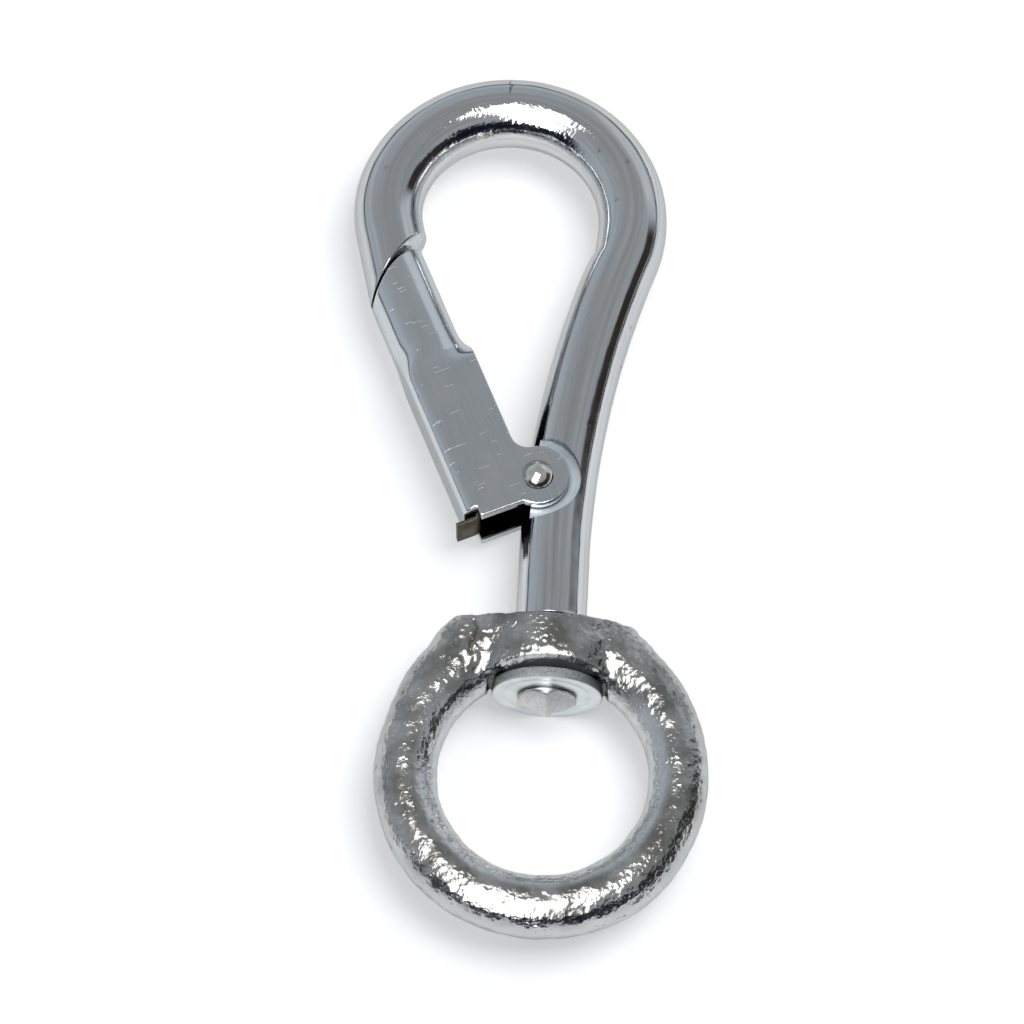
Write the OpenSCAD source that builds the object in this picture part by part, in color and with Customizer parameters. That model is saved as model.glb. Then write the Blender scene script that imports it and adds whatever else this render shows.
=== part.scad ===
// Swivel snap hook lying on its side.
// A round bar is bent into a hook. Its lower end is turned down, passes through a swivel
// eye and a washer, and is peened over. A folded sheet gate turns on a rivet through the
// bar and closes on the hook's slanted nose.

/* [Hook bar] */
// Diameter of the round bar
bar_d = 8; // [7:0.1:9.6]
// Straight shank above the shoulder
shank_length = 7.6; // [6:0.1:9]
// Radius of the long sweep from the shank to the bow
sweep_radius = 120; // [90:1:150]
// Turn of the long sweep
sweep_angle = 18.7; // [15:0.1:22]
// Centreline radius of the bow
bow_radius = 14.4; // [12:0.1:17.4]
// Turn of the bow, over the top
bow_angle = 176.3; // [170:0.1:182]
// Centreline radius of the tighter bend before the nose
nose_radius = 12; // [10:0.1:14.4]
// Turn of the bend before the nose
nose_angle = 36.7; // [32:0.1:42]
// Straight nose, from the last bend to the middle of the slanted cut
nose_length = 5.6; // [4.6:0.1:6.8]
// Slant of the nose cut against the bar's axis
nose_cut_angle = 46.8; // [42:0.1:52]
// Radius of the slightly crowned nose face
nose_crown_radius = 11; // [9:0.5:20]

/* [Swivel stub] */
// Diameter of the turned-down stub
stub_d = 5.6; // [4.7:0.1:6.2]
// Diameter of the peened head
head_d = 6.6; // [6.4:0.1:7.9]
// Thickness of the peened head
head_thickness = 0.7; // [0.5:0.05:1.2]
// Height of the four-sided point on the head
point_height = 1.5; // [1:0.1:2]

/* [Swivel eye] */
// Outside diameter of the ring
eye_d = 37.4; // [32:0.1:45]
// Diameter of the ring's section
eye_section_d = 7; // [6:0.1:8.4]
// Thickness of the boss along the swivel axis
boss_thickness = 6.9; // [5.8:0.1:8.3]
// Width of the boss, from the near face to the far face
boss_width = 10.4; // [9:0.1:12]
// Length of the boss along the ring
boss_length = 19; // [16:0.1:22]
// Height of the ring's outer edge cut away by the boss's flat top
flat_depth = 0.9; // [0.5:0.1:1.2]

/* [Washer] */
// Outside diameter of the washer
washer_d = 12.4; // [11:0.1:14.9]
// Thickness of the washer
washer_thickness = 1.2; // [1:0.05:1.6]

/* [Gate] */
// Thickness of the gate's sheet
sheet = 1.2; // [1:0.05:1.44]
// Distance from the rivet's axis to the outside of the gate's spine
spine_offset = 9.4; // [8.8:0.1:10.4]
// Depth of the gate's cheeks from the outside of the spine
cheek_depth = 8.35; // [8.1:0.05:8.8]
// Outside radius of the folds between the spine and the cheeks
fold_radius = 1.6; // [1.4:0.1:2]
// Radius of the ears round the rivet
ear_radius = 3.6; // [3:0.1:4.3]
// Radius of the hollow corner between an ear and its cheek
ear_fillet = 2; // [1.5:0.1:2.4]
// How far the cheeks reach below the rivet's axis
cheek_below = 2.4; // [2:0.1:2.9]
// How far the spine reaches below the rivet's axis
spine_below = 1.1; // [0.8:0.1:1.4]
// Height above the rivet where the cheeks start to roll round
shoulder_height = 16.5; // [14:0.1:18]
// Length of the change from folded channel to rolled tube
roll_length = 5; // [4:0.1:6]
// Width of the seam where the rolled edges nearly meet
seam_width = 0.8; // [0.4:0.1:1.2]

/* [Rivet] */
// Height of the rivet above the shoulder
rivet_height = 16.6; // [15:0.1:19]
// Distance of the rivet from the swivel axis, towards the gate
rivet_offset = 2.3; // [1.9:0.1:2.8]
// Diameter of the rivet's shank
rivet_d = 2.6; // [2.2:0.1:3.1]
// Diameter of the rivet's domed heads
rivet_head_d = 3.6; // [3.4:0.1:4.4]
// Height of the rivet's domed heads
rivet_head_height = 1.1; // [0.8:0.1:1.4]
// Diameter of the flats cut into both sides of the bar
spot_d = 9.8; // [9:0.1:11.8]

/* [Spring] */
// Thickness of the spring strip
strip = 0.5; // [0.4:0.05:0.6]
// Width of the spring strip
strip_width = 4.4; // [3.6:0.1:5]
// Length of the tab that hooks out under the spine
tab_reach = 1.1; // [0.6:0.1:1.5]
// Height of the spring's hairpin bend above the rivet
spring_top = 13; // [11:0.1:14]

/* [Clearances] */
// Play between the shank's shoulder and the boss
shoulder_gap = 0.4; // [0.3:0.05:0.5]
// Play on either side of the washer
washer_gap = 0.2; // [0.15:0.05:0.3]
// Radial room round the washer in its seat
seat_gap = 0.5; // [0.4:0.05:0.7]
// Radial play of the eye and the washer on the stub
swivel_gap = 0.2; // [0.15:0.05:0.25]
// Play between the flats of the bar and the ears
ear_gap = 0.2; // [0.15:0.05:0.3]
// Radial play of the rivet in the bar
rivet_gap = 0.1; // [0.05:0.01:0.12]
// Radial play of the rivet in the ears
ear_hole_gap = 0.02; // [0.01:0.01:0.04]
// Gap between the nose and the closed gate
nose_gap = 0.3; // [0.25:0.05:0.4]
// Extra opening of that gap towards the inside of the hook
nose_gap_angle = 3; // [1:0.5:4]
// Clearance of the spring from what it bears on
spring_gap = 0.3; // [0.25:0.05:0.4]

/* [Hidden] */
$fn = 64;
cut = 30;
lap = 0.05;
hair = 0.01;

// The bar's centreline, from the shoulder to the nose. Each step is a radius and a turn
// in degrees, positive to the left, or a length and no turn. A place on it is x, y and
// the heading, anticlockwise from +X.
bar_path = [
    [shank_length, 0],
    [sweep_radius, -sweep_angle],
    [bow_radius, bow_angle],
    [nose_radius, nose_angle],
    [nose_length + bar_d, 0]
];
bow_step = 2;
nose_step = 3;

function side(step) = step[1] < 0 ? -1 : 1;
function arc_centre(place, step) = [
    place[0] - side(step) * step[0] * sin(place[2]),
    place[1] + side(step) * step[0] * cos(place[2])
];
function after_line(place, step) = [
    place[0] + step[0] * cos(place[2]),
    place[1] + step[0] * sin(place[2]),
    place[2]
];
function after_arc(place, step) =
    let (centre = arc_centre(place, step), heading = place[2] + step[1])
    [
        centre[0] + side(step) * step[0] * sin(heading),
        centre[1] - side(step) * step[0] * cos(heading),
        heading
    ];
function after_step(place, step) = step[1] == 0 ? after_line(place, step) : after_arc(place, step);
function place_at(n) = n == 0 ? [0, 0, 90] : after_step(place_at(n - 1), bar_path[n - 1]);

// The nose: where the cut crosses the centreline, and the cut's outer corner
nose_mid = after_line(place_at(nose_step + 1), [nose_length, 0]);
nose_heading = nose_mid[2];
cut_heading = nose_heading + 180 - nose_cut_angle;
corner_reach = bar_d / 2 / sin(nose_cut_angle);
nose_corner = [
    nose_mid[0] - corner_reach * cos(cut_heading),
    nose_mid[1] - corner_reach * sin(cut_heading)
];

// Along the swivel axis, downwards from the shoulder
boss_top = -shoulder_gap;
boss_bottom = boss_top - boss_thickness;
washer_top = boss_bottom - washer_gap;
washer_bottom = washer_top - washer_thickness;
head_top = washer_bottom - washer_gap;
eye_radius = (eye_d - eye_section_d) / 2;
eye_centre = boss_top + flat_depth - eye_d / 2;
swivel_hole_d = stub_d + 2 * swivel_gap;

// The gate in its own frame: origin on the rivet, x inwards, y towards the nose. The
// spine's outside runs straight to the nose's outer corner.
pivot = [-rivet_offset, rivet_height];
to_corner = nose_corner - pivot;
gate_lean = atan2(-to_corner[0], to_corner[1]) - asin(spine_offset / norm(to_corner));
gate_top = sqrt(norm(to_corner) ^ 2 - spine_offset ^ 2);
gate_width = bar_d;
channel_width = gate_width - 2 * sheet;
tube_centre = gate_width / 2 - spine_offset;
cheek_edge = cheek_depth - spine_offset;
roll_top = shoulder_height + roll_length;
corner_radius = norm([gate_width / 2, cheek_depth - gate_width / 2]);
fillet_x = cheek_edge + ear_fillet;
fillet_y = sqrt((ear_radius + ear_fillet) ^ 2 - fillet_x ^ 2);
tongue_thickness = channel_width - 2 * ear_gap;

// The spring in the gate's frame
spring_back = -spine_offset + sheet + spring_gap + strip / 2;
tab_y = -spine_below - spring_gap - strip / 2;
tab_bend = 0.8;
hairpin_radius = 1.3;
leg_foot = [-bar_d / 2 + rivet_offset - spring_gap - strip, 1.6];

// The whole object stands with its box's bottom centre at the origin
bow_centre = arc_centre(place_at(bow_step), bar_path[bow_step]);
nose_centre = arc_centre(place_at(nose_step), bar_path[nose_step]);
low_x = min(nose_centre[0] - nose_radius - bar_d / 2, -eye_d / 2);
high_x = max(bow_centre[0] + bow_radius + bar_d / 2, eye_d / 2);
low_y = eye_centre - eye_d / 2;
high_y = bow_centre[1] + bow_radius + bar_d / 2;
axis_height = max(washer_d, boss_width, bar_d) / 2;

module in_frame() {
    translate([-(low_x + high_x) / 2, -(low_y + high_y) / 2, axis_height])
        children();
}

module along_y(from, to, d) {
    translate([0, from, 0])
        rotate([-90, 0, 0])
            cylinder(d = d, h = to - from);
}

module bar_line(place, length, d) {
    translate([place[0] - lap * cos(place[2]), place[1] - lap * sin(place[2]), 0])
        rotate([0, 90, place[2]])
            cylinder(d = d, h = length + 2 * lap);
}

module bar_arc(place, step, d) {
    centre = arc_centre(place, step);
    start = step[1] < 0 ? place[2] + 90 + step[1] : place[2] - 90;
    over = lap / step[0] * 180 / PI;
    translate([centre[0], centre[1], 0])
        rotate([0, 0, start - over])
            rotate_extrude(angle = abs(step[1]) + 2 * over)
                translate([step[0], 0])
                    circle(d = d);
}

// Each stretch laps into the next, and every second one is a hair slimmer, so that no two
// skins coincide
module bent_bar() {
    for (i = [0 : len(bar_path) - 1]) {
        d = bar_d - 2 * hair * (i % 2);
        if (bar_path[i][1] == 0)
            bar_line(place_at(i), bar_path[i][0], d);
        else
            bar_arc(place_at(i), bar_path[i], d);
    }
}

// Everything on the bar's side of the nose face. The face is a shallow barrel whose axis
// runs along the cut; growth moves it towards the gate.
module nose_side(growth) {
    translate([nose_corner[0], nose_corner[1], 0])
        rotate([0, 0, cut_heading])
            translate([-cut / 2, nose_crown_radius, 0])
                rotate([0, 90, 0])
                    cylinder(r = nose_crown_radius + growth, h = cut);
}

module nose_waste() {
    translate([nose_corner[0], nose_corner[1], 0])
        rotate([0, 0, cut_heading])
            translate([-cut / 2, -bar_d * 1.5, -cut / 2])
                cube([cut, bar_d * 1.5 + nose_crown_radius / 2, cut]);
}

module flats() {
    for (z = [tongue_thickness / 2, -tongue_thickness / 2 - bar_d])
        translate([pivot[0], pivot[1], z])
            cylinder(d = spot_d, h = bar_d);
}

module swivel_stub() {
    along_y(head_top, 2 * lap, stub_d);
    along_y(head_top - head_thickness, head_top, head_d);
    translate([0, head_top - head_thickness, 0])
        intersection_for(turn = [45, 135])
            rotate([0, turn, 0])
                point_prism();
}

// Two of these crossed make the four-sided point, its corners just inside the head's edge
module point_prism() {
    half = (head_d / 2 - lap) * sqrt(0.5);
    translate([0, 0, -half])
        linear_extrude(2 * half)
            polygon([[-half, 0], [half, 0], [0, -point_height]]);
}

module hook_bar() {
    color("lightsteelblue")
        in_frame() {
            difference() {
                bent_bar();
                difference() {
                    nose_waste();
                    nose_side(0);
                }
                flats();
                translate([pivot[0], pivot[1], -bar_d])
                    cylinder(d = rivet_d + 2 * rivet_gap, h = 2 * bar_d);
            }
            swivel_stub();
        }
}

module swivel_eye() {
    color("silver")
        in_frame()
            difference() {
                union() {
                    translate([0, eye_centre, 0])
                        rotate_extrude()
                            translate([eye_radius, 0])
                                circle(d = eye_section_d);
                    boss();
                }
                translate([-eye_d / 2, boss_top, -eye_d / 2])
                    cube([eye_d, eye_section_d, eye_d]);
                along_y(boss_bottom - eye_section_d, boss_top + eye_section_d, swivel_hole_d);
                along_y(washer_bottom - washer_thickness, boss_bottom, washer_d + 2 * seat_gap);
            }
}

// The boss seen along the swivel axis is a lens, widest round the hole
module boss() {
    lens_radius = (boss_length ^ 2 + boss_width ^ 2) / (4 * boss_width);
    lift = lens_radius - boss_width / 2;
    intersection() {
        translate([0, 0, lift])
            along_y(boss_bottom, boss_top, 2 * lens_radius);
        translate([0, 0, -lift])
            along_y(boss_bottom, boss_top, 2 * lens_radius);
    }
}

module washer() {
    color("gainsboro")
        in_frame()
            difference() {
                along_y(washer_bottom, washer_top, washer_d);
                along_y(washer_bottom - 1, washer_top + 1, swivel_hole_d);
            }
}

module in_gate() {
    in_frame()
        translate([pivot[0], pivot[1], 0])
            rotate([0, 0, gate_lean])
                children();
}

// Side view of a cheek with its ear
module cheek_profile() {
    difference() {
        polygon([
            [0, 0],
            [cheek_edge, 0],
            [cheek_edge, fillet_y],
            [fillet_x, fillet_y]
        ]);
        translate([fillet_x, fillet_y])
            circle(r = ear_fillet);
    }
    circle(r = ear_radius);
    translate([-spine_offset, -cheek_below])
        square([cheek_depth, cheek_below + roll_top]);
}

// The channel's outside: a block whose two spine edges are rounded folds
module channel_outside() {
    reach = spine_offset + ear_radius;
    bottom = -ear_radius;
    height = roll_top - bottom;
    inset = gate_width / 2 - fold_radius;
    translate([fold_radius - spine_offset, bottom, -gate_width / 2])
        cube([reach - fold_radius, height, gate_width]);
    translate([-spine_offset, bottom, -inset])
        cube([reach, height, 2 * inset]);
    for (z = [-inset, inset])
        translate([fold_radius - spine_offset, bottom, z])
            rotate([-90, 0, 0])
                cylinder(r = fold_radius, h = height);
}

// The cone that turns the square channel into the round tube
module roll_cone() {
    grow = corner_radius - gate_width / 2;
    below = shoulder_height + ear_radius + 1;
    translate([tube_centre, shoulder_height, 0])
        rotate([-90, 0, 0]) {
            cylinder(r1 = corner_radius, r2 = gate_width / 2, h = roll_length);
            translate([0, 0, -below])
                cylinder(r = corner_radius + 2 * spine_offset, h = below);
        }
}

module gate_hollow() {
    translate([sheet - spine_offset, -2 * ear_radius, -channel_width / 2])
        cube([2 * spine_offset, 2 * ear_radius + shoulder_height, channel_width]);
    translate([tube_centre, shoulder_height - 1, 0])
        rotate([-90, 0, 0])
            cylinder(d = channel_width, h = gate_top + bar_d);
    translate([tube_centre, shoulder_height - 1, -seam_width / 2])
        cube([gate_width, gate_top + bar_d, seam_width]);
}

module gate_blank() {
    intersection() {
        channel_outside();
        translate([0, 0, -gate_width])
            linear_extrude(2 * gate_width)
                cheek_profile();
        roll_cone();
    }
    translate([tube_centre, roll_top, 0])
        rotate([-90, 0, 0])
            cylinder(d = gate_width, h = gate_top + bar_d - roll_top);
}

module gate() {
    color("slategray")
        difference() {
            in_gate()
                difference() {
                    gate_blank();
                    gate_hollow();
                    translate([-spine_offset - 1, -2 * ear_radius, -gate_width])
                        cube([1 + fold_radius, 2 * ear_radius - spine_below, 2 * gate_width]);
                    translate([0, 0, -gate_width])
                        cylinder(d = rivet_d + 2 * ear_hole_gap, h = 2 * gate_width);
                }
            in_frame()
                translate([nose_corner[0], nose_corner[1], 0])
                    rotate([0, 0, -nose_gap_angle])
                        translate([-nose_corner[0], -nose_corner[1], 0])
                            nose_side(nose_gap);
        }
}

module rivet_head() {
    dome = (rivet_head_d ^ 2 / 4 + rivet_head_height ^ 2) / (2 * rivet_head_height);
    intersection() {
        translate([0, 0, rivet_head_height - dome])
            sphere(r = dome);
        cylinder(d = rivet_head_d, h = rivet_head_height + 1);
    }
}

module gate_rivet() {
    color("lightgray")
        in_gate() {
            translate([0, 0, -gate_width / 2])
                cylinder(d = rivet_d, h = gate_width);
            for (turn = [0, 180])
                rotate([turn, 0, 0])
                    translate([0, 0, gate_width / 2])
                        rivet_head();
        }
}

// Points on an arc, from one angle to another
function arc(centre, radius, from, to, steps) = [
    for (i = [0 : steps])
        let (a = from + (to - from) * i / steps)
        centre + radius * [cos(a), sin(a)]
];

// The spring's centreline: tab, bend under the spine, back, hairpin, leg
leg_lean = atan2(
    leg_foot[0] - (spring_back + 2 * hairpin_radius),
    spring_top - leg_foot[1]
);
spring_line = concat(
    [[-spine_offset - tab_reach, tab_y]],
    arc([spring_back - tab_bend, tab_y + tab_bend], tab_bend, -90, 0, 6),
    arc([spring_back + hairpin_radius, spring_top], hairpin_radius, 180, leg_lean, 12),
    arc([leg_foot[0] - tab_bend, leg_foot[1]], tab_bend, leg_lean, leg_lean - 70, 5)
);

function unit(v) = v / norm(v);
function left_of(v) = [-v[1], v[0]];
function offset_point(line, i, by) =
    let (
        before = line[max(i - 1, 0)],
        after = line[min(i + 1, len(line) - 1)]
    )
    line[i] + by * left_of(unit(after - before));

module gate_spring() {
    last = len(spring_line) - 1;
    outline = concat(
        [for (i = [0 : last]) offset_point(spring_line, i, strip / 2)],
        [for (i = [last : -1 : 0]) offset_point(spring_line, i, -strip / 2)]
    );
    color("tan")
        in_gate()
            translate([0, 0, -strip_width / 2])
                linear_extrude(strip_width)
                    polygon(outline);
}

hook_bar();
swivel_eye();
washer();
gate();
gate_rivet();
gate_spring();
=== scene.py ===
import math

import bpy
import bmesh
import numpy as np
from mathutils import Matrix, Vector, geometry, noise


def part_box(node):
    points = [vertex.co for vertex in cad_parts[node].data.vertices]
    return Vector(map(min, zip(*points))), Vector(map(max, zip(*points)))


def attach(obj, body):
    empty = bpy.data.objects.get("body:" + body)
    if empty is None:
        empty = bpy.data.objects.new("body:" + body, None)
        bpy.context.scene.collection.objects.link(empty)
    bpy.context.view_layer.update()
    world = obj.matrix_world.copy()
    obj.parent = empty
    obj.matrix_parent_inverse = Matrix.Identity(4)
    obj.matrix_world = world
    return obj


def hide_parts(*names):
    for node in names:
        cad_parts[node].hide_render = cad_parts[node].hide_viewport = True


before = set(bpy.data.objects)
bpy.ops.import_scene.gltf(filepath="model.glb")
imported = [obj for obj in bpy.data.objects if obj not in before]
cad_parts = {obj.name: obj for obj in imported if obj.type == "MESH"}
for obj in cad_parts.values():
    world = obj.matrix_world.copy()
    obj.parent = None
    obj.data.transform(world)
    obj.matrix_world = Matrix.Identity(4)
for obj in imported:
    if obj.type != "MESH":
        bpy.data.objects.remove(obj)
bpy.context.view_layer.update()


# ---- Hook bar: one length of 8 mm round mild steel bar, turned down to a stub at the eye end,
# bent cold to the bow, spot-faced on both sides for the gate, sawn at the nose, zinc plated.
# Its stub goes through the eye and the washer and is peened to a four-sided point.
MM = 0.001
washer_low, washer_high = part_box("washer")
axis_x = (washer_low.x + washer_high.x) / 2 / MM
axis_z = (washer_low.z + washer_high.z) / 2 / MM
shoulder_y = washer_high.y / MM + 7.5

bar_radius = 4.0
bar_sides = 96
ring_spacing = 0.35
shoulder_round = 0.12
bar_bends = [(7.6, 0), (120.0, -18.7), (14.4, 176.3), (12.0, 36.7), (5.6, 0)]
stub_radius = 2.8
stub_length = 8.9
head_radius = 3.3
head_thickness = 0.7
point_height = 1.5


def walk(start, bends, spacing):
    """Centreline points as rows of x, y, heading and distance along the bar."""
    x, y, heading = start
    along = 0.0
    rows = [(x, y, heading, along)]
    ends = []
    for size, turn in bends:
        turn = math.radians(turn)
        length = size if turn == 0 else size * abs(turn)
        count = max(2, round(length / spacing))
        for i in range(1, count + 1):
            if turn == 0:
                step = size / count
                x += step * math.cos(heading)
                y += step * math.sin(heading)
            else:
                side = math.copysign(1, turn)
                cx, cy = x - side * size * math.sin(heading), y + side * size * math.cos(heading)
                heading += turn / count
                x, y = cx + side * size * math.sin(heading), cy - side * size * math.cos(heading)
            along += length / count
            rows.append((x, y, heading, along))
        ends.append(len(rows) - 1)
    return np.array(rows), ends


def place(points):
    """From millimetres on the swivel axis at the shoulder to metres in the shared frame."""
    return (np.asarray(points, float) + [axis_x, shoulder_y, axis_z]) * MM


def tree_socket(tree, name, kind, way="INPUT", default=None):
    socket = tree.interface.new_socket(name=name, in_out=way, socket_type="NodeSocket" + kind)
    if default is not None:
        socket.default_value = default


def put(tree, kind, values=None, **settings):
    """Adds a node, sets its properties and unlinked inputs, and links the rest."""
    node = tree.nodes.new(kind)
    for key, value in settings.items():
        setattr(node, key, value)
    for key, value in (values or {}).items():
        socket = node.inputs[key]
        if isinstance(value, bpy.types.NodeSocket):
            tree.links.new(value, socket)
        else:
            socket.default_value = value
    return node


def new_geometry_tree(name, **sizes):
    """A tree with inputs for its sizes and its finish, and the values that it is given."""
    tree = bpy.data.node_groups.new(name, "GeometryNodeTree")
    tree_socket(tree, "Geometry", "Geometry")
    tree_socket(tree, "Geometry", "Geometry", "OUTPUT")
    for size, default in sizes.items():
        kind = "Int" if isinstance(default, int) else "Float"
        tree_socket(tree, size.replace("_", " ").capitalize(), kind, default=default)
    tree_socket(tree, "Finish", "Material")
    return tree, put(tree, "NodeGroupInput").outputs


def finish_tree(tree, geometry_socket, material_socket):
    """Every tree ends in Realize Instances and Set Material."""
    real = put(tree, "GeometryNodeRealizeInstances", {"Geometry": geometry_socket})
    painted = put(tree, "GeometryNodeSetMaterial",
                  {"Geometry": real.outputs[0], "Material": material_socket})
    put(tree, "NodeGroupOutput", {"Geometry": painted.outputs[0]})


def settle(piece):
    """Turns a piece with its modifiers into a plain mesh."""
    depsgraph = bpy.context.evaluated_depsgraph_get()
    mesh = bpy.data.meshes.new_from_object(
        piece.evaluated_get(depsgraph), preserve_all_data_layers=True, depsgraph=depsgraph)
    piece.modifiers.clear()
    piece.data = mesh
    return piece


def shape_mesh(name, vertices, faces, edges=()):
    mesh = bpy.data.meshes.new(name)
    mesh.from_pydata([tuple(v) for v in vertices], list(edges), [tuple(f) for f in faces])
    return mesh


def shape_piece(name, vertices, faces, edges=()):
    piece = bpy.data.objects.new(name, shape_mesh(name, vertices, faces, edges))
    bpy.context.scene.collection.objects.link(piece)
    return piece


def run_tree(piece, tree, values):
    """Runs a geometry tree on a piece, its inputs given by name and set by identifier."""
    modifier = piece.modifiers.new(tree.name, "NODES")
    modifier.node_group = tree
    for item in tree.interface.items_tree:
        if item.in_out == "INPUT" and item.name in values:
            modifier[item.identifier] = values[item.name]
    return settle(piece)


def skin_rings(rings, loop=False):
    """Quads between rings of points that follow each other. A ring of one point is a pole."""
    vertices, starts = [], []
    for ring in rings:
        starts.append(len(vertices))
        vertices.extend(ring)
    faces = []
    pairs = list(zip(range(len(rings)), range(1, len(rings))))
    if loop:
        pairs.append((len(rings) - 1, 0))
    for a, b in pairs:
        count = max(len(rings[a]), len(rings[b]))
        for j in range(count):
            k = (j + 1) % count
            quad = [starts[a] + j % len(rings[a]), starts[a] + k % len(rings[a]),
                    starts[b] + k % len(rings[b]), starts[b] + j % len(rings[b])]
            faces.append(list(dict.fromkeys(quad)))
    return vertices, faces


def outwards(piece, sharp_degrees=35):
    """Merges doubles, turns all faces outwards, and shades smooth but for sharp edges."""
    work = bmesh.new()
    work.from_mesh(piece.data)
    bmesh.ops.remove_doubles(work, verts=work.verts, dist=1e-7)
    bmesh.ops.recalc_face_normals(work, faces=work.faces)
    for face in work.faces:
        face.smooth = True
    work.to_mesh(piece.data)
    work.free()
    piece.data.set_sharp_from_angle(angle=math.radians(sharp_degrees))
    return piece


def give_attribute(piece, name, rows):
    """A vector or a number for each point, which a material or a tree follows."""
    rows = np.asarray(rows, np.float32)
    kind, key = ("FLOAT_VECTOR", "vector") if rows.ndim == 2 else ("FLOAT", "value")
    piece.data.attributes.new(name, kind, "POINT").data.foreach_set(key, rows.ravel())


def mesh_points(piece):
    """The places of a piece's points, as place() takes them."""
    flat = np.zeros(len(piece.data.vertices) * 3)
    piece.data.vertices.foreach_get("co", flat)
    return flat.reshape(-1, 3) / MM - [axis_x, shoulder_y, axis_z]


def move_points(piece, points):
    piece.data.vertices.foreach_set("co", place(points).ravel())
    piece.data.update()


def new_metal(name):
    material = bpy.data.materials.new(name)
    material.use_nodes = True
    tree = material.node_tree
    shader = tree.nodes["Principled BSDF"]
    shader.inputs["Metallic"].default_value = 1.0
    shader.inputs["Specular Tint"].default_value = (0.66, 0.66, 0.65, 1.0)
    return material, tree, shader


def maths(tree, operation, *values):
    return put(tree, "ShaderNodeMath", dict(enumerate(values)), operation=operation).outputs[0]


def times(tree, first, second):
    return maths(tree, "MULTIPLY", first, second)


def sums(tree, *values):
    total = values[0]
    for value in values[1:]:
        total = maths(tree, "ADD", total, value)
    return total


def ramp(tree, value, from_low, from_high, to_low=0.0, to_high=1.0):
    return put(tree, "ShaderNodeMapRange", {
        "Value": value, "From Min": from_low, "From Max": from_high,
        "To Min": to_low, "To Max": to_high}).outputs[0]


def cloudy(tree, vector, scale, detail, **values):
    """Soft noise about 0.5."""
    return put(tree, "ShaderNodeTexNoise",
               {"Vector": vector, "Scale": scale, "Detail": detail, **values}).outputs[0]


def blend_colours(tree, factor, first, second):
    mix = put(tree, "ShaderNodeMix", {0: factor}, data_type="RGBA")
    for socket, value in ((mix.inputs[6], first), (mix.inputs[7], second)):
        if isinstance(value, bpy.types.NodeSocket):
            tree.links.new(value, socket)
        else:
            socket.default_value = (*value, 1.0)
    return mix.outputs[2]


def in_parts(tree, vector):
    return put(tree, "ShaderNodeSeparateXYZ", {"Vector": vector}).outputs


def attribute_on(tree, name):
    return put(tree, "ShaderNodeAttribute", attribute_name=name).outputs


def in_sizes(tree, vector, *sizes):
    """A place counted in a pattern's own sizes along the three axes."""
    size = put(tree, "ShaderNodeCombineXYZ", dict(zip("XYZ", sizes)))
    return put(tree, "ShaderNodeVectorMath", {0: vector, 1: size.outputs[0]},
               operation="DIVIDE").outputs[0]


def object_place(tree):
    """Where a point is on its piece, in millimetres."""
    local = put(tree, "ShaderNodeTexCoord")
    return put(tree, "ShaderNodeVectorMath", {0: local.outputs["Object"], 3: 1 / MM},
               operation="SCALE").outputs[0]


def dress(tree, shader, colour, roughness, height, depth):
    """Gives a material its colour, its roughness, and a bump whose depth is in millimetres."""
    bump = put(tree, "ShaderNodeBump", {"Height": height, "Distance": depth * MM, "Strength": 1.0})
    tree.links.new(colour, shader.inputs["Base Color"])
    tree.links.new(roughness, shader.inputs["Roughness"])
    tree.links.new(bump.outputs[0], shader.inputs["Normal"])


def effect_group(name, sizes, masks):
    """An empty shader node group that takes a place and some sizes and puts out masks."""
    group = bpy.data.node_groups.new(name, "ShaderNodeTree")
    tree_socket(group, "Vector", "Vector")
    for size, default in sizes.items():
        tree_socket(group, size, "Float", default=default)
    for mask in masks:
        tree_socket(group, mask, "Float", "OUTPUT")
    return group, put(group, "NodeGroupInput").outputs, put(group, "NodeGroupOutput").inputs


# The plating effect that the metals share: soft clouds, drawn streaks and fine grain, with
# sizes in millimetres and masks from 0 to 1
zinc_plating, given, masks = effect_group(
    "Zinc plating",
    {"Cloud size": 6.0, "Streak width": 0.25, "Streak length": 14.0, "Grain size": 0.12},
    ("Cloud", "Streak", "Grain"))
streak = given["Streak width"], given["Streak width"], given["Streak length"]
for name, sizes, detail, low, high in (("Cloud", [given["Cloud size"]] * 3, 3.0, 0.35, 0.65),
                                       ("Streak", streak, 2.0, 0.3, 0.7),
                                       ("Grain", [given["Grain size"]] * 3, 2.0, 0.3, 0.7)):
    pattern = cloudy(zinc_plating, in_sizes(zinc_plating, given["Vector"], *sizes), 1.0, detail,
                     Roughness=0.55)
    zinc_plating.links.new(ramp(zinc_plating, pattern, low, high), masks[name])

# The second shared effect: the round dimples, in patches, of a skin that was cast rough or
# was bent before it was plated
orange_peel, given, masks = effect_group(
    "Orange peel", {"Cell size": 0.4, "Patch size": 3.0}, ("Dimple",))
cells = put(orange_peel, "ShaderNodeTexVoronoi", {
    "Vector": in_sizes(orange_peel, given["Vector"], *[given["Cell size"]] * 3),
    "Scale": 1.0, "Smoothness": 0.35}, feature="SMOOTH_F1")
patches = cloudy(orange_peel, in_sizes(orange_peel, given["Vector"], *[given["Patch size"]] * 3),
                 1.0, 3.0)
dimples = maths(orange_peel, "POWER", cells.outputs["Distance"], 2.0)
orange_peel.links.new(times(orange_peel, dimples, ramp(orange_peel, patches, 0.38, 0.6)),
                      masks["Dimple"])


def plating_on(tree, vector, cloud, width, length, grain):
    return put(tree, "ShaderNodeGroup", {
        "Vector": vector, "Cloud size": cloud, "Streak width": width, "Streak length": length,
        "Grain size": grain}, node_tree=zinc_plating).outputs


def peel_on(tree, vector, cell, patch):
    return put(tree, "ShaderNodeGroup", {
        "Vector": vector, "Cell size": cell, "Patch size": patch}, node_tree=orange_peel).outputs[0]


hairline_along, hairline_wander = 74.6, 1.3


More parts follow.
